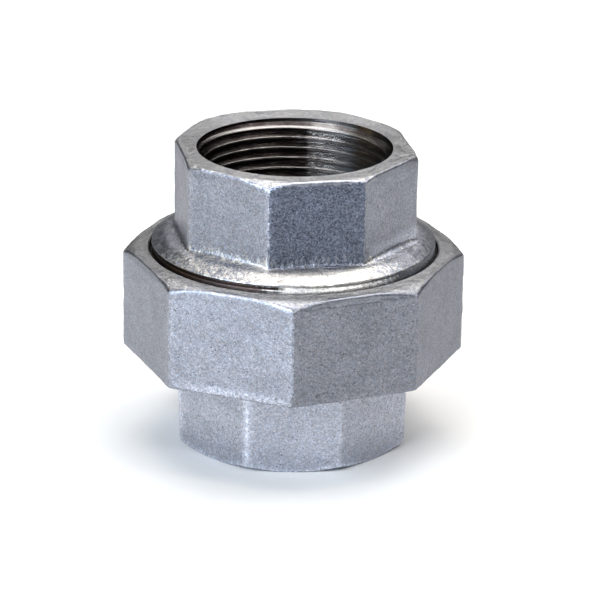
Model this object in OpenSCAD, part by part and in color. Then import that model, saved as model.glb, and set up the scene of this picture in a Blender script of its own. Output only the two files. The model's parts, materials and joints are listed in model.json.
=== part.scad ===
// Pipe union with two female pipe threads, size DN 32 (1 1/4 inch), flat seat.
// The origin is at the centre of the tail piece's end face, and +Z runs along the
// waterway, up to the male end. At rest the nut is tight and the gasket is clamped.

/* [Ends] */
// Length over the two end faces
overall_length = 65; // [65:0.5:67]
// Width across the flats of the male end
male_flats = 49.4; // [48:0.2:50]
// Width across the flats of the tail piece
tail_flats = 49; // [47:0.2:49.2]
// Turn of the male end's corners from the X axis, in degrees
male_turn = -11.3; // [-22.5:0.1:22.5]
// Turn of the tail piece's corners from the X axis, in degrees
tail_turn = -21.3; // [-22.5:0.1:22.5]
// Height of the chamfer on the corners at both end faces
end_chamfer = 0.7; // [0.5:0.1:1.8]

/* [Pipe threads] */
// Minor diameter of the pipe thread, which is the bore of both sockets
pipe_minor = 38.952; // [38.5:0.001:39.2]
// Major diameter of the pipe thread, which is the mouth of both sockets
pipe_major = 41.91; // [41.4:0.01:42.2]
// Depth of each socket
socket_depth = 21; // [19:0.5:21.5]
// Diameter of the waterway between the sockets
waterway = 36; // [34:0.5:37]

/* [Union nut] */
// Width across the flats of the nut
nut_flats = 68; // [66.5:0.5:70]
// Height of the nut
nut_height = 23.3; // [23:0.1:23.5]
// Height of the nut's lower face above the tail piece's end face
nut_bottom = 19.6; // [19:0.1:20]
// Turn of the nut's corners from the X axis, in degrees
nut_turn = 0.2; // [-22.5:0.1:22.5]
// Thickness of the lip that holds the tail piece
lip_thickness = 4.5; // [4:0.1:5]
// Height of the chamfer on the corners around the nut's mouth
nut_chamfer = 1.5; // [1:0.1:2]

/* [Union thread] */
// Minor diameter of the thread in the nut
union_minor = 56.656; // [56.6:0.001:56.8]
// Pitch of the union thread
union_pitch = 2.309; // [2.309:11 per inch]
// Gap between the nut's thread and the male end's thread, on the radius
thread_play = 0.2; // [0.15:0.01:0.25]

/* [Gasket] */
// Outer diameter of the gasket
gasket_outer = 55; // [54:0.5:55.5]
// Inner diameter of the gasket
gasket_inner = 42; // [40:0.5:44]
// Thickness of the clamped gasket
gasket_thickness = 2; // [1.5:0.1:2.5]

/* [Hidden] */

$fn = 96;

// Slope of the turned chamfers, from the end face
chamfer_slope = 30;
// Overrun of a cut past the face that it goes through
past = 1;

// Tail piece
neck_r = 26.2;
collar_r = 28.1;
collar_height = 5;
collar_edge = 0.6;
collar_bottom = nut_bottom + lip_thickness;
collar_top = collar_bottom + collar_height;
shoulder_height = 1.9;
// Gap between the tail piece's shoulder and the nut
shoulder_gap = 0.8;
shoulder_top = nut_bottom - shoulder_gap;

// Male end
seat_z = collar_top + gasket_thickness;
flange_r = 30.4;
flange_bottom = 41.6;
flange_top = 44.4;
flange_nose = 0.5;
// The flange's top slopes up steeply from the nose to the knee, then gently to the fillet
flare_slope = 32;
knee_r = 27.9;
ledge_slope = 9;
flare_fillet = 2;
// How far the fillet's end lies inside the flats
flare_inset = 0.2;
flare_root_r = male_flats / 2 - flare_inset;

// Nut
lip_r = 26.7;
mouth_r = 31.07;
mouth_floor = 41.2;
relief_r = 30.1;
relief_top = 29.5;
nut_top = nut_bottom + nut_height;

// Union thread, with flanks at 27.5 degrees and a flat crest
flank_angle = 27.5;
depth_per_pitch = 0.6403;
thread_depth = depth_per_pitch * union_pitch;
crest_width = union_pitch / 6;
thread_root_half = (union_pitch - crest_width) / 2;
// How far a ridge reaches into its core, past the root of the thread
ridge_root = 0.3;
// How far inside the core a ridge's crest is at its ends
ridge_sink = 0.15;
ridge_segments = 48;
// Height of the ridge's middle at its start, clear of the seat face
ridge_start = seat_z + 1.3;
ridge_turns = 3.5;
// Turns over which the ridge rises out of the core
ridge_runout = 0.25;
groove_turns_below = 2;
groove_turns = 6.4;

// Points on an arc around [x, y]
function arc(x, y, r, from, to, count) =
    [for (i = [0:count]) let (a = from + (to - from) * i / count) [x + r * cos(a), y + r * sin(a)]];

// Half the ridge's width at a height above the root of the thread
function ridge_half(rise) = thread_root_half - rise * tan(flank_angle);

// The four corners of the ridge's section at one step, in space
function ridge_section(root_r, z, turns, rise) =
    let (a = 360 * turns, inner = root_r - ridge_root, crest = root_r + rise)
    [for (p = [[inner, -ridge_half(-ridge_root)], [crest, -ridge_half(rise)],
               [crest, ridge_half(rise)], [inner, ridge_half(-ridge_root)]])
        [p[0] * cos(a), p[0] * sin(a), z + turns * union_pitch + p[1]]];

// A right-handed helical ridge around a core of radius root_r. It rises out of the core
// over the given part of a turn at both ends, or is square at the ends where that is zero.
module thread_ridge(root_r, turns, runout) {
    steps = round(turns * ridge_segments);
    sections = [for (i = [0:steps])
        let (end = min(i, steps - i) / ridge_segments,
             share = runout > 0 ? min(1, end / runout) : 1,
             rise = (thread_depth + ridge_sink) * share - ridge_sink)
        ridge_section(root_r, 0, i / ridge_segments, rise)];
    points = [for (s = sections) each s];
    sides = [for (i = [0:steps - 1], k = [0:3])
        let (a = 4 * i + k, b = 4 * i + (k + 1) % 4)
        each [[a, b, a + 4], [b, b + 4, a + 4]]];
    last = 4 * steps;
    caps = [[0, 2, 1], [0, 3, 2], [last, last + 1, last + 2], [last, last + 2, last + 3]];
    polyhedron(points, concat(sides, caps));
}

// An octagon bar standing on z = 0, with its corners chamfered at the top
module chamfered_octagon(flats, height, chamfer, turn) {
    corner_r = flats / 2 / cos(22.5);
    top_r = corner_r - chamfer / tan(chamfer_slope);
    intersection() {
        rotate([0, 0, turn]) cylinder(r = corner_r, h = height, $fn = 8);
        cylinder(r1 = top_r + height / tan(chamfer_slope), r2 = top_r, h = height);
    }
}

// The space inside a threaded socket whose mouth is at z = 0, going down to the waterway
module socket_space() {
    mouth_step = (pipe_major - pipe_minor) / 2;
    end_step = (pipe_minor - waterway) / 2;
    translate([0, 0, -socket_depth]) cylinder(d = pipe_minor, h = socket_depth + past);
    translate([0, 0, -mouth_step]) cylinder(d1 = pipe_minor, d2 = pipe_major, h = mouth_step);
    translate([0, 0, -socket_depth - end_step])
        cylinder(d1 = waterway, d2 = pipe_minor, h = end_step);
}

module tail_piece() {
    color("lightslategray") difference() {
        union() {
            mirror([0, 0, 1]) translate([0, 0, -shoulder_top])
                chamfered_octagon(tail_flats, shoulder_top, end_chamfer, -tail_turn);
            translate([0, 0, shoulder_top - shoulder_height])
                cylinder(r1 = neck_r - shoulder_height, r2 = neck_r, h = shoulder_height);
            translate([0, 0, shoulder_top]) cylinder(r = neck_r, h = collar_top - shoulder_top);
            translate([0, 0, collar_bottom])
                cylinder(r = collar_r, h = collar_height - collar_edge);
            translate([0, 0, collar_top - collar_edge])
                cylinder(r1 = collar_r, r2 = collar_r - collar_edge, h = collar_edge);
        }
        mirror([0, 0, 1]) socket_space();
        cylinder(d = waterway, h = collar_top + past);
    }
}

module gasket() {
    color("dimgray") translate([0, 0, collar_top]) difference() {
        cylinder(d = gasket_outer, h = gasket_thickness);
        translate([0, 0, -past]) cylinder(d = gasket_inner, h = gasket_thickness + 2 * past);
    }
}

module union_nut() {
    color("lightgray") difference() {
        translate([0, 0, nut_bottom])
            chamfered_octagon(nut_flats, nut_height, nut_chamfer, nut_turn);
        translate([0, 0, nut_bottom - past]) cylinder(r = lip_r, h = lip_thickness + 2 * past);
        translate([0, 0, collar_bottom]) cylinder(r = relief_r, h = relief_top - collar_bottom);
        translate([0, 0, collar_bottom])
            cylinder(d = union_minor, h = mouth_floor + past - collar_bottom);
        translate([0, 0, mouth_floor]) cylinder(r = mouth_r, h = nut_top + past - mouth_floor);
        translate([0, 0, ridge_start - groove_turns_below * union_pitch])
            thread_ridge(union_minor / 2, groove_turns, 0);
    }
}

module male_end() {
    core_r = union_minor / 2 - thread_play;
    knee_z = flange_top + flange_nose * cos(flare_slope)
        + (flange_r - flange_nose - knee_r) * tan(flare_slope);
    ledge_end_r = flare_root_r + flare_fillet * (1 - sin(ledge_slope));
    ledge_end_z = knee_z + (knee_r - ledge_end_r) * tan(ledge_slope);
    fillet_z = ledge_end_z + flare_fillet * cos(ledge_slope);
    color("silver") difference() {
        union() {
            translate([0, 0, flange_bottom])
                chamfered_octagon(male_flats, overall_length - flange_bottom, end_chamfer, male_turn);
            rotate_extrude() polygon(concat(
                [[0, flange_bottom], [flange_r, flange_bottom]],
                arc(flange_r - flange_nose, flange_top, flange_nose, 0, 90 - flare_slope, 3),
                [[knee_r, knee_z]],
                arc(flare_root_r + flare_fillet, fillet_z, flare_fillet, 270 - ledge_slope, 180, 5),
                [[0, fillet_z]]));
            translate([0, 0, seat_z]) cylinder(r = core_r, h = flange_bottom - seat_z);
            translate([0, 0, ridge_start]) thread_ridge(core_r, ridge_turns, ridge_runout);
        }
        translate([0, 0, overall_length]) socket_space();
        translate([0, 0, seat_z - past]) cylinder(d = waterway, h = overall_length - seat_z);
    }
}

tail_piece();
gasket();
union_nut();
male_end();
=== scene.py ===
"""Looks of the pipe union: two cast octagonal ends, the union nut, the gasket and the studio.

Each metal piece is one closed mesh, swept round the waterway's axis column by column. Plain
stretches come from an outline with rounded corners, and threads from rows that climb with the helix.
Lengths are in millimetres in this file, and the meshes, the floor and the lights are in metres.
"""

import json
import math

import bmesh
import bpy
import numpy as np
from mathutils import Matrix, Vector, noise


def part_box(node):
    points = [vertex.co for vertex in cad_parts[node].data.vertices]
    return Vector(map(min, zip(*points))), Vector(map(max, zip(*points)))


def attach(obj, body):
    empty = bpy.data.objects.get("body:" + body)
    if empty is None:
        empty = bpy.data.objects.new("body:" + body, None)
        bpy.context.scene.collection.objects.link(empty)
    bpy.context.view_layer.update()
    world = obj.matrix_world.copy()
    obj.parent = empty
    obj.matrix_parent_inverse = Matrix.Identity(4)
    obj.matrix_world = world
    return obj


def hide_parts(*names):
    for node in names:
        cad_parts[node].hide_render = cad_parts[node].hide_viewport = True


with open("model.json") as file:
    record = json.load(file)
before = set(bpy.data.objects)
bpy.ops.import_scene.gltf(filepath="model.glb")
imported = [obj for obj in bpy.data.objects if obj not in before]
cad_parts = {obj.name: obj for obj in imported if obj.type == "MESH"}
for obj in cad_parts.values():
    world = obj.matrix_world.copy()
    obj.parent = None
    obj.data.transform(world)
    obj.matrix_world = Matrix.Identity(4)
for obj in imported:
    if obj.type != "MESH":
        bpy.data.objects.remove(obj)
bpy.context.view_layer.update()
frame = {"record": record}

MM = 0.001


# ---------------------------------------------------------------- sizes
def top_of(node):
    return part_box(node)[1][2] / MM


def bottom_of(node):
    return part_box(node)[0][2] / MM


def radius_of(node):
    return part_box(node)[1][0] / MM


mounts = {m["name"]: m for m in frame["record"]["mounts"]}

# Pipe threads, the same in both sockets. A tooth's depth and the radius of its arcs are in pitches, and
# TOOTH_FLANK is how far the arcs turn to each side before the straight flanks begin, in degrees.
PITCH = 2.309
TOOTH_DEPTH = 0.6403
TOOTH_RADIUS = 0.13733
TOOTH_FLANK = 62.5
THREAD_DEPTH = TOOTH_DEPTH * PITCH
PIPE_MINOR = mounts["male_end_socket"]["dims"]["r_mm"]
PIPE_MAJOR = PIPE_MINOR + THREAD_DEPTH
THREAD_END = 20.4
LEAD_IN = 0.8
WATERWAY = 18.0

# Male end
TOP = top_of("male_end")
SEAT = bottom_of("male_end")
FLANGE_R = radius_of("male_end")
FLANGE_BOTTOM = SEAT + 10.5
FLANGE_TOP = SEAT + 13.4
FLARE = math.tan(math.radians(32))
LEDGE = math.tan(math.radians(9))
KNEE_R = 27.9
# Height at which the flare's ledge meets the flats
LEDGE_Z = FLANGE_TOP + 1.7
# Height of the flange's nose, which ends in the band
NOSE = 0.25
MALE_APOTHEM = 24.7
MALE_TURN = math.radians(-11.3)

# Union thread
UNION_MINOR = 28.328
THREAD_PLAY = 0.2
RIDGE_START = SEAT + 1.3

# Nut
NUT_BOTTOM = bottom_of("union_nut")
NUT_TOP = top_of("union_nut")
NUT_APOTHEM = radius_of("union_nut") * math.cos(math.pi / 8)
NUT_TURN = math.radians(0.2)
LIP_R = 26.7
RELIEF_R = 30.1
RELIEF_TOP = 29.5
MOUTH_R = 31.07
MOUTH_FLOOR = NUT_TOP - 1.7

# Tail piece
COLLAR_TOP = top_of("tail_piece")
COLLAR_BOTTOM = COLLAR_TOP - 5
COLLAR_R = radius_of("tail_piece")
TAIL_APOTHEM = 24.5
TAIL_DRAFT = 0.4
TAIL_TURN = math.radians(-21.3)
NECK_R = 26.2
SHOULDER = NUT_BOTTOM - 0.8

CHAMFER = math.tan(math.radians(30))
COLUMNS = 368
# Material slots of the metal pieces
ZINC, FACED, TURNED, THREAD = 0, 1, 2, 3
# How far the looks of an end face's rim reach down
RIM = 2


# ---------------------------------------------------------------- outlines
def smooth(low, high, value):
    t = np.clip((value - low) / (high - low), 0, 1)
    return t * t * (3 - 2 * t)


def azimuth(angle):
    """Degrees from the -Y side towards +X, from -180 to 180."""
    return (np.degrees(angle) + 270) % 360 - 180


def columns(turn, crowding=0.4):
    """Angles round the axis, closer together at the octagon's corners."""
    t = np.arange(COLUMNS) * 2 * math.pi / COLUMNS
    return turn + t - crowding / 8 * np.sin(8 * t)


def from_corner(angle, turn):
    """Angle from the nearest corner of an octagon with its corners at turn + k * 45 degrees."""
    return (angle - turn + math.pi / 8) % (math.pi / 4) - math.pi / 8


def octagon(angle, apothem, turn, rounding):
    """Distance from the axis to an octagon with rounded corners."""
    off = from_corner(angle, turn)
    from_flat = math.pi / 8 - np.abs(off)
    centre = (apothem - rounding) / math.cos(math.pi / 8)
    corner = centre * np.cos(off) + np.sqrt(np.maximum(rounding ** 2 - (centre * np.sin(off)) ** 2, 0))
    tangent = np.arctan((apothem - rounding) * math.tan(math.pi / 8) / apothem)
    return np.where(from_flat < tangent, apothem / np.cos(from_flat), corner)


def outline(corners):
    """Rows of (r, z) along an outline, for all columns at once, and how near each row is to a corner.
    Each corner is (r, z, length of the round-off, spacing of the rows that follow it)."""
    wide = np.ones(COLUMNS)
    points = [np.stack([r * wide, z * wide], -1) for r, z, _, _ in corners]
    rows, near, leave = [points[0]], [0.0], points[0]
    for i in range(1, len(corners)):
        here, last = points[i], i == len(corners) - 1
        back = points[i - 1] - here
        ahead = back if last else points[i + 1] - here
        back_length = np.linalg.norm(back, axis=-1)
        ahead_length = np.linalg.norm(ahead, axis=-1)
        room = np.minimum(back_length, ahead_length) * 0.48
        size = np.zeros(COLUMNS) if last else np.minimum(corners[i][2], room)
        arrive = here + back * (size / back_length)[:, None]
        depart = here + ahead * (size / ahead_length)[:, None]
        cells = math.ceil(np.linalg.norm(arrive - leave, axis=-1).max() / corners[i - 1][3])
        for t in np.linspace(0, 1, max(cells, 1) + 1)[1:]:
            rows.append(leave + (arrive - leave) * t)
            near.append(0.0)
        if not last:
            steps = 2 if size.max() < 0.25 else 4 if size.max() < 1.5 else 6
            near[-1] = 0.5
            for t in np.linspace(0, 1, steps + 1)[1:]:
                rows.append((1 - t) ** 2 * arrive + 2 * t * (1 - t) * here + t * t * depart)
                near.append(1.0 if t < 1 else 0.5)
            leave = rows[-1]
    return np.stack(rows), np.array(near)[:, None]


def edge_glint(rows, r, z, reach=0.5):
    """How near each row is to the edge at (r, z), from 0 to 1."""
    away = np.hypot(rows[..., 0] - r, rows[..., 1] - z)
    return np.exp(-(away / reach) ** 2)


def corner_glint(angle, turn, reach=1.9):
    """How near each column is to a corner of an octagon, from 0 to 1, most of all at the front left.
    It places a painted highlight down the corners.
    """
    left = 0.3 + 0.7 * (azimuth(angle) < 0)
    return left * np.exp(-(np.degrees(from_corner(angle, turn)) / reach) ** 2)


def rounded_tooth():
    """One pitch of a pipe thread, from the middle of the groove: place along it, and share of the depth.
    Crests and roots are arcs between straight flanks."""
    root, crest = [], []
    for a in np.radians((-TOOTH_FLANK, -22, 22, TOOTH_FLANK)):
        rise = TOOTH_RADIUS * (1 - math.cos(a)) / TOOTH_DEPTH
        root.append((TOOTH_RADIUS * math.sin(a) % 1, 1 - rise))
        crest.append((0.5 + TOOTH_RADIUS * math.sin(a), rise))
    return sorted(root + crest)


TOOTH = rounded_tooth()


def tooth_share(place):
    """Share of the thread's depth at a place along the pitch."""
    return np.interp(place % 1, [p for p, _ in TOOTH] + [1], [s for _, s in TOOTH] + [1])


def thread(angle, low, high, start, radius):
    """Rows of (r, z) that climb one pitch each turn, cut off at low and high, and each point's share of
    the depth. radius gives r from that share and z, and is the same all round at low and at high."""
    first = start + PITCH * (math.floor((low - start) / PITCH) - 2)
    climb = angle / (2 * math.pi) * PITCH
    rows, shares = [], []
    for turn in range(math.ceil((high - low) / PITCH) + 4):
        for place, _ in TOOTH:
            z = np.clip(first + (turn + place) * PITCH + climb, low, high)
            share = tooth_share((z - start - climb) / PITCH)
            rows.append(np.stack([radius(share, z), z], -1))
            shares.append(share)
    return np.stack(rows), np.stack(shares)


# ---------------------------------------------------------------- meshes
def attribute(mesh, name, values):
    layer = mesh.attributes.new(name, "FLOAT", "POINT")
    layer.data.foreach_set("value", np.asarray(values, np.float32))


def coordinates(mesh):
    co = np.empty(len(mesh.vertices) * 3)
    mesh.vertices.foreach_get("co", co)
    return co.reshape(-1, 3)


def weld(mesh):
    """Joins the points that patches and cut-off thread rows share."""
    bm = bmesh.new()
    bm.from_mesh(mesh)
    bmesh.ops.remove_doubles(bm, verts=bm.verts, dist=1e-6)
    bmesh.ops.dissolve_degenerate(bm, edges=bm.edges, dist=1e-6)
    bm.to_mesh(mesh)
    bm.free()


def roughen(mesh, low, high):
    """Moves the cast skin in and out by the casting's waviness and coarse grain, inside a box."""
    co = coordinates(mesh)
    normal = np.empty(co.size)
    mesh.vertex_normals.foreach_get("vector", normal)
    cast = np.empty(len(co), np.float32)
    mesh.attributes["cast"].data.foreach_get("value", cast)
    move = np.zeros(len(co))
    for i in np.nonzero(cast > 0)[0]:
        p = Vector(co[i])
        wave = noise.noise(p * 110) * 0.12
        lump = noise.noise(p * 330 + Vector((7, 3, 1))) * 0.08
        grain = noise.noise(p * 1000 + Vector((1, 9, 4))) * 0.06
        move[i] = (wave + lump + grain - 0.04) * cast[i]
    co = np.clip(co + normal.reshape(-1, 3) * move[:, None] * MM, low, high)
    mesh.vertices.foreach_set("co", co.reshape(-1))
    mesh.update()


class Shell:
    """A closed mesh put together from patches that share their end rows."""

    def __init__(self, name, node, turn):
        self.name, self.box, self.angle = name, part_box(node), columns(turn)
        self.points, self.faces, self.slots, self.values = [], [], [], []
        self.count = 0

    def add(self, rows, slot, cast=0, zinc=0, edge=0, climb=0):
        """Adds a patch of rows of (r, z). slot is one for all, or one for each gap between rows. climb is
        how many rows the helix rises in one turn."""
        n, m = rows.shape[:2]
        r, z = rows[..., 0], rows[..., 1]
        index = self.count + np.arange(n * m).reshape(n, m)
        right = np.roll(index, -1, axis=1)
        right[:, -1] = index[np.clip(np.arange(n) + climb, 0, n - 1), 0]
        xyz = np.stack([r * np.cos(self.angle), r * np.sin(self.angle), z], -1)
        self.points.append(xyz.reshape(-1, 3))
        self.faces.append(np.stack([index[:-1], index[1:], right[1:], right[:-1]], -1).reshape(-1, 4))
        self.slots.append(np.repeat(np.broadcast_to(slot, n - 1), m))
        values = [np.broadcast_to(v, (n, m)) for v in (cast, zinc, edge)]
        self.values.append(np.stack(values, -1).reshape(-1, 3))
        self.count += n * m

    def build(self, materials, painted_light_and_shade=None, rust_and_bore_sheen=None, light=None):
        """The finished object. The functions work out attributes from the azimuth and z: the zinc's
        painted light and shade, how rusty the bare metal is, less where a highlight is painted into the
        male end's bore, and where the zinc is dull (-1) or white (1), which is partly painted shade and
        highlight. Where it is at all dull, it is also coarser."""
        mesh = bpy.data.meshes.new(self.name)
        mesh.from_pydata(np.concatenate(self.points) * MM, [], np.concatenate(self.faces))
        mesh.polygons.foreach_set("material_index", np.concatenate(self.slots))
        values = np.concatenate(self.values)
        for i, name in enumerate(("cast", "zinc", "edge")):
            attribute(mesh, name, values[:, i])
        weld(mesh)
        roughen(mesh, *self.box)
        for material in materials:
            mesh.materials.append(material)
        co = coordinates(mesh)
        side, z = azimuth(np.arctan2(co[:, 1], co[:, 0])), co[:, 2] / MM
        for name, shade, usual in (("painted_light_and_shade", painted_light_and_shade, 1.0), ("rust_and_bore_sheen", rust_and_bore_sheen, 0.0), ("light", light, 0.0)):
            attribute(mesh, name, shade(side, z) if shade else np.full(len(z), usual))
        mesh.shade_smooth()
        mesh.set_sharp_from_angle(angle=math.radians(38))
        obj = bpy.data.objects.new(self.name, mesh)
        bpy.context.scene.collection.objects.link(obj)
        return obj


def add_socket(shell, mouth, inward):
    """The pipe thread of a socket whose mouth is at z = mouth. inward is the sign of its way in."""
    def radius(share, z):
        into = (z - mouth) * inward
        fade = np.clip((THREAD_END - into) / (1.4 * PITCH), 0, 1)
        lead_in = PIPE_MAJOR - np.maximum(into - LEAD_IN, 0)
        return np.maximum(PIPE_MINOR + THREAD_DEPTH * share * fade, lead_in)

    end = mouth + inward * THREAD_END
    rows, share = thread(shell.angle, min(mouth, end), max(mouth, end), mouth + PITCH / 2, radius)
    crest = 1 - smooth(0.02, 0.12, share)
    shell.add(rows, THREAD, edge=crest, climb=len(TOOTH))


# ---------------------------------------------------------------- the pieces
def make_male_end(materials):
    shell = Shell("male_end_casting", "male_end", MALE_TURN)
    angle = shell.angle
    side = azimuth(angle)
    # The casting isn't quite true: its back wall is thicker, its left wall thinner, its corners uneven.
    back = np.where(side < 0, smooth(95, 135, -side), smooth(105, 172, side))
    thicker = 2.9 * back - 0.35 * np.exp(-((side + 95) / 30) ** 2)
    rounding = 1.1 + 0.35 * np.sin(2 * angle) + 4 * smooth(85, 115, np.abs(side))
    corner = octagon(angle, MALE_APOTHEM, MALE_TURN, rounding) + thicker
    chamfer_r = 25.6 - 1.2 * np.exp(-((side + 16) / 15) ** 2) + 2.5 * back
    corner_z = TOP - np.maximum(corner - chamfer_r, 0) * CHAMFER
    # The casting sits a little off the lathe's axis, so that on one side its skin was never turned.
    turned = 1 - smooth(0.15, 0.55, np.cos(np.radians(side - 115)))
    front = smooth(-26, 18, side) * (1 - smooth(60, 85, side))
    nose_r = FLANGE_R + 0.22 * turned
    # Zinc has run unevenly into the fillet.
    ragged = np.random.default_rng(3).uniform(-0.45, 0.45, COLUMNS)
    fillet = 1.9 - 1.1 * smooth(-20, -8, side) * (1 - smooth(30, 40, side)) + ragged
    knee_r = np.maximum(KNEE_R, corner + 0.5)
    knee_z = FLANGE_TOP + (nose_r - knee_r) * FLARE
    rows, _ = outline([
        (PIPE_MAJOR, TOP, 0, 0.4),
        (np.minimum(chamfer_r, corner - 1.3), TOP, 0.5, 0.3),
        (corner, corner_z, 0.75, 0.45),
        (corner, knee_z + (knee_r - corner) * LEDGE, fillet, 0.4),
        (knee_r, knee_z, 0.9, 0.4),
        (nose_r, FLANGE_TOP, 1.2 - 0.9 * turned, 0.3),
        (nose_r, FLANGE_TOP - NOSE, 0.08, 0.3)])
    r, z = rows[..., 0], rows[..., 1]
    on_face = (r < corner - 0.2).all(axis=1) & (z > TOP - 3).all(axis=1)
    # Painted highlights along the chamfer's edge and, fainter, down the corners above the flare.
    glint = edge_glint(rows, corner, corner_z)
    shell.add(rows, np.where(on_face[1:], FACED, ZINC), cast=smooth(PIPE_MAJOR, PIPE_MAJOR + 1, r), zinc=1,
              edge=np.maximum(glint, 0.4 * corner_glint(angle, MALE_TURN) * (z > FLANGE_TOP + 1.5)))
    band_r = FLANGE_R - 0.5 * turned - 0.4 * front
    root_r = UNION_MINOR - THREAD_PLAY
    thread_top = FLANGE_BOTTOM - 0.6
    rows, _ = outline([
        (nose_r, FLANGE_TOP - NOSE, 0, 0.1),
        (band_r, FLANGE_TOP - 0.36, 0.06, 0.3),
        (FLANGE_R, FLANGE_TOP - 1.7, 0.3, 0.4),
        (FLANGE_R, FLANGE_BOTTOM, 0.4, 0.4),
        (root_r, FLANGE_BOTTOM, 0.2, 0.4),
        (root_r, thread_top, 0, 0.3)])
    shell.add(rows, TURNED, zinc=np.maximum(1 - turned, front) * (rows[..., 1] > FLANGE_BOTTOM + 0.3))

    def radius(share, z):
        fade = np.clip((thread_top - z) / (0.6 * PITCH), 0, 1)
        return np.minimum(root_r + THREAD_DEPTH * share * fade, root_r - 0.6 + z - SEAT)

    rows, share = thread(angle, SEAT, thread_top, RIDGE_START, radius)
    shell.add(rows[::-1], TURNED, edge=smooth(0.85, 0.98, share[::-1]), climb=-len(TOOTH))
    end = TOP - THREAD_END
    rows, _ = outline([
        (root_r - 0.6, SEAT, 0, 1.0),
        (WATERWAY, SEAT, 0.4, 1.4),
        (WATERWAY, end - 2.1, 0.5, 0.7),
        (PIPE_MINOR, end - 0.6, 0.2, 0.4),
        (PIPE_MINOR, end, 0, 0.4)])
    shell.add(rows, THREAD)
    add_socket(shell, TOP, -1)

    # The front flat lies between the corners at these azimuths. Its zinc is dull, partly duller zinc and
    # partly painted shade, and white on the flare, partly white zinc and partly a painted highlight.
    left_corner = -11.3
    right_corner = 33.7

    def dull_and_shade(side, z):
        share = 0.6 * smooth(LEDGE_Z + 0.1, LEDGE_Z + 0.4, z) + 0.4 * smooth(LEDGE_Z + 1.2, LEDGE_Z + 3, z)
        return smooth(-12, -10, side) * (1 - smooth(33, 34.5, side)) * share * (z < TOP - 0.7)

    def white_and_highlight(side, z):
        share = 0.55 * smooth(-80, -45, side) + 0.45 * smooth(-26, -10, side)
        end = LEDGE_Z + np.select([side < left_corner, side < right_corner], [3.8, 0.6], 2.4)
        return share * (1 - 0.8 * smooth(25, 55, side)) * (1 - smooth(LEDGE_Z, end, z))

    # Painted light and shade: lighter under the white flare, at the foot of the right flat and at the back
    # of the rim, darker at the rim's sides.
    def painted_light_and_shade(side, z):
        band = 0.35 * white_and_highlight(side, z) * (z < FLANGE_TOP - 0.2)
        across = smooth(36, 40, side) * (1 - smooth(85, 100, side))
        right = 0.6 * across * (1 - smooth(LEDGE_Z + 1.8, LEDGE_Z + 4.3, z)) * (z > LEDGE_Z)
        rim = 0.38 * smooth(110, 150, np.abs(side)) - 0.12 * smooth(20, 60, np.abs(side))
        return 1 + band + right + rim * (z > TOP - RIM)

    def rust_and_bore_sheen(side, z):
        band = (1 - smooth(-26, 14, side)) + smooth(60, 100, side) + (z < FLANGE_BOTTOM - 0.1)
        # Painted highlight: the bore's wall between these azimuths is painted as lighter bare metal, half
        # as much near the mouth.
        bore_highlight = smooth(80, 110, side) * (1 - smooth(167, 178, side))
        bore = 1 - bore_highlight * (1 - 0.5 * smooth(TOP - 3, TOP - 2, z))
        return np.where(z < FLANGE_TOP + 0.1, band, bore)

    def light(side, z):
        return white_and_highlight(side, z) - dull_and_shade(side, z)

    return shell.build(materials, painted_light_and_shade, rust_and_bore_sheen, light)


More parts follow.
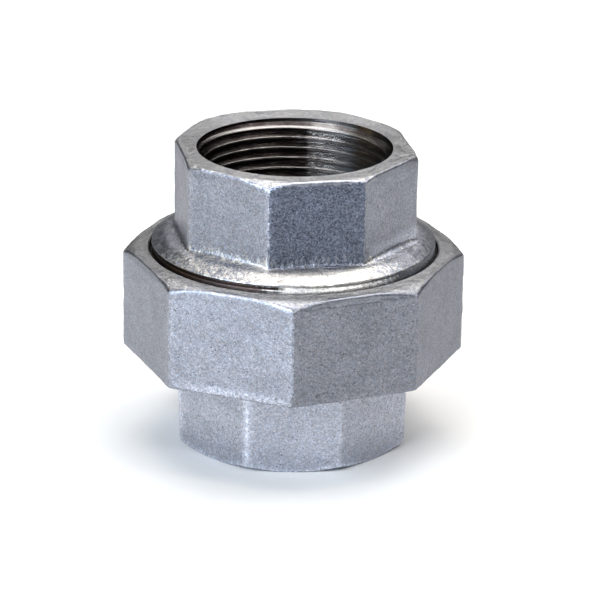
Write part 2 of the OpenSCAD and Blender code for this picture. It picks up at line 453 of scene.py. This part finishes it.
def make_nut(materials):
    shell = Shell("union_nut_casting", "union_nut", NUT_TURN)
    angle = shell.angle
    side = azimuth(angle)
    corner = octagon(angle, NUT_APOTHEM, NUT_TURN, 1.1)
    chamfer_r = NUT_APOTHEM + 0.35
    # The turned face falls a little from the mouth towards the flats.
    face_z = NUT_TOP - 0.3
    corner_z = face_z - np.maximum(corner - chamfer_r, 0) * CHAMFER
    mouth_z = NUT_TOP - 0.3
    rows, _ = outline([
        (MOUTH_R, mouth_z, 0, 0.2),
        (MOUTH_R + 0.3, NUT_TOP, 0.15, 0.35),
        (np.minimum(chamfer_r, corner - 1.3), face_z, 1.2, 0.4),
        (corner, corner_z, 1.0 - 0.5 * smooth(30, 60, np.abs(side)), 0.5),
        (corner, NUT_BOTTOM, 0.6, 0.5),
        (LIP_R, NUT_BOTTOM, 0.5, 0.8),
        (LIP_R, COLLAR_BOTTOM, 0, 0.5)])
    r, z = rows[..., 0], rows[..., 1]
    # Painted highlights along the foot of the front left flat and along the chamfer's edge, weaker on the
    # right, and faintly down the corners.
    left_front = smooth(-50, -30, side) * (1 - smooth(-3, 0, side))
    foot = edge_glint(rows, corner, NUT_BOTTOM + 0.8, 1.2) * left_front
    rim = (0.45 - 0.35 * smooth(-5, 10, side)) * edge_glint(rows, corner, corner_z)
    on_face = (r < corner - 0.3).all(axis=1) & (z > NUT_TOP - 3).all(axis=1)
    cast = np.where(z > NUT_TOP - RIM, smooth(MOUTH_R + 0.3, MOUTH_R + 1.2, r), r > LIP_R + 0.01)
    shell.add(rows, np.where(on_face[1:], FACED, ZINC), cast=cast, zinc=1,
              edge=np.maximum(np.maximum(rim, foot), 0.3 * corner_glint(angle, NUT_TURN)))
    rows, _ = outline([
        (LIP_R, COLLAR_BOTTOM, 0, 0.6),
        (RELIEF_R, COLLAR_BOTTOM, 0.4, 0.8),
        (RELIEF_R, RELIEF_TOP, 0, 0.8)])
    shell.add(rows, THREAD)

    def radius(share, z):
        chamfer = np.maximum(RELIEF_R - (z - RELIEF_TOP), RELIEF_R - (MOUTH_FLOOR - z))
        return np.maximum(UNION_MINOR + THREAD_DEPTH * share, chamfer)

    rows, share = thread(angle, RELIEF_TOP, MOUTH_FLOOR, RIDGE_START, radius)
    shell.add(rows, THREAD, edge=1 - smooth(0.02, 0.15, share), climb=len(TOOTH))
    rows, _ = outline([
        (RELIEF_R, MOUTH_FLOOR, 0, 0.4),
        (MOUTH_R, MOUTH_FLOOR, 0.2, 0.4),
        (MOUTH_R, mouth_z, 0, 0.4)])
    shell.add(rows, THREAD)

    # Azimuths of the corner where the front right flat begins, and of the end of its coarser zinc
    front_corner = 0.2
    coarse_end = 46

    # Painted light and shade: the right side darker, and the turned face darker towards its sides, most on
    # the left.
    def painted_light_and_shade(side, z):
        right = side > front_corner
        face = smooth(30, 60, np.abs(side)) * (z > NUT_TOP - RIM)
        return 1.09 - 0.19 * right - face * np.where(right, 0.06, 0.24)

    def light(side, z):
        return -0.1 * (side > front_corner) * (side < coarse_end) * (z < NUT_TOP - RIM)

    return shell.build(materials, painted_light_and_shade, light=light)


def make_tail_piece(materials):
    shell = Shell("tail_piece_casting", "tail_piece", TAIL_TURN)
    angle = shell.angle
    side = azimuth(angle)
    corner = octagon(angle, TAIL_APOTHEM, TAIL_TURN, 1.1) + 0.25 * np.exp(-((side + 70) / 30) ** 2)
    foot = corner - TAIL_DRAFT
    foot_r = TAIL_APOTHEM - TAIL_DRAFT - 0.3
    rows, _ = outline([
        (WATERWAY + 0.5, COLLAR_TOP, 0, 1.0),
        (COLLAR_R - 0.6, COLLAR_TOP, 0.2, 0.4),
        (COLLAR_R, COLLAR_TOP - 0.6, 0.2, 0.9),
        (COLLAR_R, COLLAR_BOTTOM, 0.3, 0.5),
        (NECK_R, COLLAR_BOTTOM, 0.4, 0.8),
        (NECK_R, SHOULDER, 0, 0.5)])
    shell.add(rows, TURNED)
    slope = NECK_R - corner + 0.02
    rows, near = outline([
        (NECK_R, SHOULDER, 0, 0.4),
        (corner, SHOULDER - slope, 0.5, 0.5),
        (foot, (foot - foot_r) * CHAMFER, 0.6, 0.4),
        (foot_r, 0, 0.5, 0.6),
        (PIPE_MAJOR, 0, 0, 0.6)])
    z = rows[..., 1]
    # Painted highlights along the bottom edge and down the corners.
    shell.add(rows, ZINC, cast=smooth(0, 1.2, z), zinc=1,
              edge=np.maximum(near * (z < 4), 0.25 * corner_glint(angle, TAIL_TURN, 3.2)))
    add_socket(shell, 0, 1)
    rows, _ = outline([
        (PIPE_MINOR, THREAD_END, 0, 0.4),
        (PIPE_MINOR, THREAD_END + 0.6, 0.2, 0.4),
        (WATERWAY, THREAD_END + 2.1, 0.5, 1.2),
        (WATERWAY, COLLAR_TOP - 0.5, 0.2, 0.4),
        (WATERWAY + 0.5, COLLAR_TOP, 0, 0.4)])
    shell.add(rows, THREAD)

    # Azimuth of the corner between the front flat and the one to its right
    right_corner = 23.7

    # Painted light and shade: the whole piece lighter, the right flats darker, darker towards the top under
    # the nut, and a painted highlight down each corner, strongest on the left.
    def painted_light_and_shade(side, z):
        corner_highlight = 0.45 * corner_glint(np.radians(side - 90), TAIL_TURN, 1.8)
        return 1.65 - 0.15 * (side > right_corner) - 0.2 * smooth(9, 15, z) + corner_highlight

    def rust_and_bore_sheen(side, z):
        return np.ones(len(z))

    return shell.build(materials, painted_light_and_shade, rust_and_bore_sheen)


def make_gasket(material):
    """The flat ring between the collar and the seat, with pressed edges."""
    low, high = (np.array(c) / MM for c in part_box("gasket"))
    outer, inner = high[0], high[0] - 6.5
    shell = Shell("gasket_ring", "gasket", 0)
    rows, near = outline([
        (inner, high[2], 0, 0.8),
        (outer, high[2], 0.35, 0.4),
        (outer, low[2], 0.35, 0.8),
        (inner, low[2], 0.35, 0.4),
        (inner, high[2], 0, 0.4)])
    shell.add(rows, 0, edge=near)
    return shell.build([material])


# ---------------------------------------------------------------- materials
# Weathered metal is less bright at a grazing angle than polished metal.
EDGE_TINT = (0.77, 0.77, 0.77, 1)
# Depth of the zinc's grain, in metres
GRAIN_DEPTH = 0.00012


class Nodes:
    """Short hand for building one material's nodes."""

    def __init__(self, name):
        self.material = bpy.data.materials.new(name)
        self.material.use_nodes = True
        self.tree = self.material.node_tree
        self.tree.nodes.clear()
        self.place = self.new("ShaderNodeTexCoord").outputs["Object"]

    def new(self, kind, **settings):
        node = self.tree.nodes.new(kind)
        for name, value in settings.items():
            setattr(node, name, value)
        return node

    def plug(self, socket, value):
        if isinstance(value, bpy.types.NodeSocket):
            self.tree.links.new(value, socket)
        else:
            socket.default_value = value

    def read(self, name):
        return self.new("ShaderNodeAttribute", attribute_name=name).outputs["Fac"]

    def noise(self, scale, detail=2, rough=0.5, place=None):
        node = self.new("ShaderNodeTexNoise")
        self.plug(node.inputs["Vector"], place or self.place)
        for name, value in (("Scale", scale), ("Detail", detail), ("Roughness", rough)):
            node.inputs[name].default_value = value
        return node.outputs["Fac"]

    def cells(self, scale):
        node = self.new("ShaderNodeTexVoronoi")
        self.plug(node.inputs["Vector"], self.place)
        node.inputs["Scale"].default_value = scale
        return node.outputs["Distance"], node.outputs["Color"]

    def math(self, kind, a, b=0.0, c=0.0):
        node = self.new("ShaderNodeMath", operation=kind)
        for socket, value in zip(node.inputs, (a, b, c)):
            self.plug(socket, value)
        return node.outputs[0]

    def span(self, value, low, high, to_low=0.0, to_high=1.0):
        """value from low..high to to_low..to_high, smoothed and clamped."""
        node = self.new("ShaderNodeMapRange", interpolation_type="SMOOTHSTEP")
        for socket, number in zip(node.inputs, (value, low, high, to_low, to_high)):
            self.plug(socket, number)
        return node.outputs[0]

    def mix(self, factor, a, b, blend="MIX"):
        node = self.new("ShaderNodeMix", data_type="RGBA", blend_type=blend)
        for name, value in ((0, factor), (6, a), (7, b)):
            if not isinstance(value, (bpy.types.NodeSocket, float, int)):
                value = (*value, 1)
            self.plug(node.inputs[name], value)
        return node.outputs[2]

    def split(self, color):
        node = self.new("ShaderNodeSeparateColor")
        self.plug(node.inputs[0], color)
        return node.outputs

    def grey(self, value):
        node = self.new("ShaderNodeCombineColor")
        for socket in node.inputs:
            self.plug(socket, value)
        return node.outputs[0]

    def blend(self, share, a, b):
        """a where share is 0, and b where it is 1."""
        node = self.new("ShaderNodeMix", data_type="FLOAT")
        for i, value in ((0, share), (2, a), (3, b)):
            self.plug(node.inputs[i], value)
        return node.outputs[0]

    def rings(self, scale):
        """Turning marks: noise that is the same all the way round the axis."""
        flat = self.stretch((1, 1, 0))
        radius = self.new("ShaderNodeVectorMath", operation="LENGTH")
        self.plug(radius.inputs[0], flat)
        xyz = self.new("ShaderNodeSeparateXYZ")
        self.plug(xyz.inputs[0], self.place)
        section = self.new("ShaderNodeCombineXYZ")
        self.plug(section.inputs[0], radius.outputs["Value"])
        self.plug(section.inputs[1], xyz.outputs["Z"])
        return self.noise(scale, 3, 0.7, section.outputs[0])

    def stretch(self, scale):
        node = self.new("ShaderNodeMapping")
        self.plug(node.inputs["Vector"], self.place)
        node.inputs["Scale"].default_value = scale
        return node.outputs["Vector"]

    def shader(self, color, roughness, bump, metallic=1.0, distance=GRAIN_DEPTH, strength=1.0):
        bumped = self.new("ShaderNodeBump")
        bumped.inputs["Strength"].default_value = strength
        bumped.inputs["Distance"].default_value = distance
        self.plug(bumped.inputs["Height"], bump)
        node = self.new("ShaderNodeBsdfPrincipled")
        for name, value in (("Base Color", color), ("Roughness", roughness), ("Metallic", metallic),
                            ("Specular Tint", EDGE_TINT), ("Normal", bumped.outputs[0])):
            self.plug(node.inputs[name], value)
        return node.outputs[0]

    def finish(self, shader):
        self.tree.links.new(shader, self.new("ShaderNodeOutputMaterial").inputs["Surface"])
        return self.material


def zinc_coat(n):
    """Colour, roughness and bump height of the hot-dip zinc over the sandy casting. The colour takes
    in the painted highlights, light and shade that the attributes carry.
    """
    grain = n.noise(2600, 3, 0.7)
    coarse = n.noise(900, 2, 0.6)
    cloud = n.noise(120, 3, 0.6)
    _, speck = n.cells(3400)
    distance, _ = n.cells(1100)
    pits = n.math("MULTIPLY", n.span(distance, 0.26, 0.12), n.span(n.noise(400, 2), 0.50, 0.62))
    # The border between white and dull zinc, which also carry a painted highlight and painted shade, is
    # ragged, with upright bristles.
    bristles = n.span(n.noise(1500, 2, 0.7, n.stretch((1, 1, 0.35))), 0.3, 0.7, -1, 1)
    light = n.math("MULTIPLY_ADD", bristles, 0.45, n.read("light"))
    dull_and_shade = n.span(light, -0.45, -0.65)
    white_and_highlight = n.span(light, 0.45, 0.65)
    shift = n.math("SUBTRACT", n.split(speck)[0], 0.5)
    speckle = n.math("MULTIPLY_ADD", shift, n.blend(dull_and_shade, 0.36, 1.0), 1.0)
    # Painted highlights along edges and corners, broken up by noise.
    painted_glint = n.math("MULTIPLY", n.read("edge"), n.span(n.noise(1900, 3, 0.7), 0.34, 0.62))
    shade = n.span(grain, 0.35, 0.65, 0.78, 1.19)
    # The brightness takes in the painted highlights, the painted light and shade, and dull zinc's
    # darkening, part of which is painted shade.
    for factor in (speckle,
                   n.math("MULTIPLY_ADD", painted_glint, 0.9, 1.0),
                   n.span(cloud, 0.3, 0.7, 0.92, 1.06),
                   n.span(coarse, 0.35, 0.65, 0.95, 1.05),
                   n.span(pits, 0, 1, 1.0, 0.5),
                   n.read("painted_light_and_shade"),
                   n.blend(dull_and_shade, 1.0, 0.60)):
        shade = n.math("MULTIPLY", shade, factor)
    color = n.mix(n.split(speck)[1], (0.240, 0.268, 0.321), (0.287, 0.281, 0.306))
    # Dull zinc, partly painted shade, is darker and bluer; white zinc, partly a painted highlight, is
    # paler.
    color = n.mix(dull_and_shade, color, (0.215, 0.243, 0.315))
    color = n.mix(white_and_highlight, color, (0.50, 0.49, 0.475))
    color = n.mix(1.0, color, n.grey(shade), "MULTIPLY")
    roughness = n.math("SUBTRACT", n.span(coarse, 0.3, 0.7, 0.36, 0.48), n.math("MULTIPLY", painted_glint, 0.1))
    height = n.math("ADD", n.math("MULTIPLY", grain, 0.5), n.math("MULTIPLY", coarse, 0.8))
    height = n.math("SUBTRACT", height, n.math("MULTIPLY", pits, 0.5))
    height = n.math("MULTIPLY", height, n.span(n.read("light"), -0.1, 0, 2.2, 1))
    return color, roughness, height


def make_zinc():
    n = Nodes("galvanised_casting")
    return n.finish(n.shader(*zinc_coat(n)))


def make_faced():
    """Zinc over an end face that was cut on the lathe, so that it has rings, and shines across them."""
    n = Nodes("faced_zinc")
    color, roughness, height = zinc_coat(n)
    patch = n.span(n.noise(1500, 4, 0.75), 0.36, 0.62)
    # Brighter patches of turned zinc, scaled by the painted light and shade.
    shine = n.mix(1.0, (0.50, 0.495, 0.485), n.grey(n.read("painted_light_and_shade")), "MULTIPLY")
    color = n.mix(n.math("MULTIPLY", patch, 0.8), color, shine)
    rings = n.math("MULTIPLY", n.rings(4200), n.span(patch, 0, 1, 0.25, 0.8))
    return n.finish(n.shader(color, n.math("SUBTRACT", roughness, 0.06), n.math("ADD", height, rings)))


def bare_with_zinc(n, color, roughness, height):
    """Bare metal, with zinc on it where the zinc attribute says so, in streaks along the tool marks."""
    streaks = n.span(height, 0.35, 0.65, -0.3, 0.3)
    ragged = n.math("ADD", streaks, n.span(n.noise(900, 3), 0.3, 0.7, -0.15, 0.15))
    share = n.span(n.math("ADD", n.read("zinc"), ragged), 0.35, 0.70)
    zinc_color, zinc_roughness, zinc_height = zinc_coat(n)
    return n.finish(n.shader(
        n.mix(share, color, zinc_color),
        n.blend(share, roughness, zinc_roughness),
        n.blend(share, height, zinc_height)))


def make_turned():
    n = Nodes("turned_iron")
    stain = n.noise(160, 4, 0.65)
    color = n.mix(n.span(stain, 0.40, 0.66), (0.72, 0.66, 0.63), (0.88, 0.85, 0.82))
    rust_and_bore_sheen = n.math("ADD", n.read("rust_and_bore_sheen"), n.span(stain, 0.3, 0.7, -0.3, 0.3))
    marks = n.rings(4600)
    rusty = n.mix(n.span(marks, 0.42, 0.60), (0.014, 0.010, 0.009), (0.075, 0.056, 0.052))
    color = n.mix(n.span(rust_and_bore_sheen, 0.3, 0.7), color, rusty)
    color = n.mix(n.math("MULTIPLY", n.read("edge"), 0.5), color, (0.7, 0.68, 0.66))
    return bare_with_zinc(n, color, n.span(stain, 0.3, 0.7, 0.42, 0.34), marks)


def make_thread():
    n = Nodes("threaded_iron")
    stain = n.noise(220, 3, 0.6)
    dark = n.mix(n.span(stain, 0.4, 0.6), (0.034, 0.027, 0.025), (0.078, 0.068, 0.065))
    bare = n.mix(n.span(stain, 0.4, 0.6), (0.20, 0.185, 0.18), (0.31, 0.295, 0.29))
    # Bare metal where there is less rust; in the male end's bore that is a painted highlight.
    groove = n.mix(n.span(n.read("rust_and_bore_sheen"), 0.3, 0.7), bare, dark)
    color = n.mix(n.math("MULTIPLY", n.read("edge"), 0.9), groove, (0.31, 0.295, 0.29))
    return n.finish(n.shader(color, n.span(stain, 0.3, 0.7, 0.27, 0.20), n.rings(5200), distance=0.0001))


def make_gasket_sheet():
    n = Nodes("gasket_sheet")
    fibres = n.noise(1400, 4, 0.7)
    color = n.mix(n.span(fibres, 0.35, 0.65), (0.020, 0.020, 0.022), (0.055, 0.054, 0.052))
    return n.finish(n.shader(color, 0.75, fibres, metallic=0.0, distance=0.0001, strength=0.5))


def make_floor_paper():
    n = Nodes("pale_floor")
    shade = n.mix(n.noise(30, 2), (0.66, 0.66, 0.66), (0.68, 0.68, 0.68))
    return n.finish(n.shader(shade, 0.9, n.noise(600, 2), metallic=0.0, distance=0.00005, strength=0.1))


# ---------------------------------------------------------------- studio
def look_at(obj, place, target):
    turn = (target - place).to_track_quat("-Z", "Y").to_matrix().to_4x4()
    obj.matrix_world = Matrix.Translation(place) @ turn


# How far the lights stand from the point that they aim at
LIGHT_DISTANCE = 0.9
AIM = Vector((0, 0, 0.03))


def area_light(name, side, height, size, power, color=(1, 1, 1)):
    """A soft box. side is its azimuth from the -Y side towards +X, and height its angle above the floor."""
    light = bpy.data.lights.new(name, "AREA")
    light.shape, light.size, light.size_y = "RECTANGLE", size[0], size[1]
    light.energy, light.color = power, color
    obj = bpy.data.objects.new(name, light)
    bpy.context.scene.collection.objects.link(obj)
    a, e = math.radians(side), math.radians(height)
    way = Vector((math.sin(a) * math.cos(e), -math.cos(a) * math.cos(e), math.sin(e)))
    look_at(obj, AIM + way * LIGHT_DISTANCE, AIM)


def make_studio():
    scene = bpy.context.scene
    scene.view_settings.view_transform = "Standard"
    floor = bpy.data.meshes.new("floor")
    half = 3.0
    floor.from_pydata([(-half, -half, 0), (half, -half, 0), (half, half, 0), (-half, half, 0)],
                      [], [(0, 1, 2, 3)])
    floor.materials.append(make_floor_paper())
    floor = bpy.data.objects.new("floor", floor)
    scene.collection.objects.link(floor)
    world = bpy.data.worlds.new("studio")
    world.use_nodes = True
    world.node_tree.nodes["Background"].inputs["Color"].default_value = (0.95, 0.97, 1.0, 1)
    world.node_tree.nodes["Background"].inputs["Strength"].default_value = 0.02
    scene.world = world
    area_light("overhead", 170, 80, (0.9, 0.7), 10.5, (1.0, 0.97, 0.93))
    area_light("high_back", 176, 44, (0.8, 0.25), 2.1, (1.0, 0.98, 0.95))
    area_light("front_left", -32, 10, (0.45, 0.45), 4.1, (0.76, 0.87, 1.0))
    area_light("left_high", -60, 30, (0.45, 0.45), 1.8, (0.60, 0.80, 1.0))
    area_light("left", -90, 8, (0.45, 0.45), 0.6, (1.0, 0.75, 0.35))
    area_light("right", 88, 50, (0.60, 0.45), 1.3)
    area_light("back_right", 125, 50, (0.45, 0.45), 1.0)
    area_light("window", -37, 38, (0.60, 0.25), 5.6, (0.9, 0.95, 1.0))
    area_light("front_right", 42, 46, (0.60, 0.20), 2.6)


def make_camera():
    """On the -Y side, with a slight roll."""
    target = Vector((1.52, 0, 30.27))
    distance = 718
    elevation, roll = math.radians(20.0), math.radians(0.744)
    # Focal length over the picture's width
    focal_ratio = 5.535
    camera = bpy.data.cameras.new("camera")
    camera.sensor_width = 36
    camera.lens = focal_ratio * camera.sensor_width
    obj = bpy.data.objects.new("camera", camera)
    bpy.context.scene.collection.objects.link(obj)
    place = (target + Vector((0, -math.cos(elevation), math.sin(elevation))) * distance) * MM
    obj.matrix_world = (Matrix.Translation(place) @ Matrix.Rotation(math.pi / 2 - elevation, 4, "X")
                        @ Matrix.Rotation(roll, 4, "Z"))
    camera.clip_start, camera.clip_end = 0.01, 20
    bpy.context.scene.camera = obj


# ---------------------------------------------------------------- assembly
make_camera()
make_studio()
metals = [make_zinc(), make_faced(), make_turned(), make_thread()]
male_end = make_male_end(metals)
union_nut = make_nut(metals)
tail_piece = make_tail_piece(metals)
gasket = make_gasket(make_gasket_sheet())

for piece, body, node, slot in (
        (male_end, "male_end", "male_end", "galvanised_casting"),
        (union_nut, "union_nut", "union_nut", "galvanised_nut"),
        (tail_piece, "tail_piece", "tail_piece", "galvanised_casting"),
        (gasket, "tail_piece", "gasket", "gasket_sheet")):
    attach(piece, body)
    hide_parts(node)
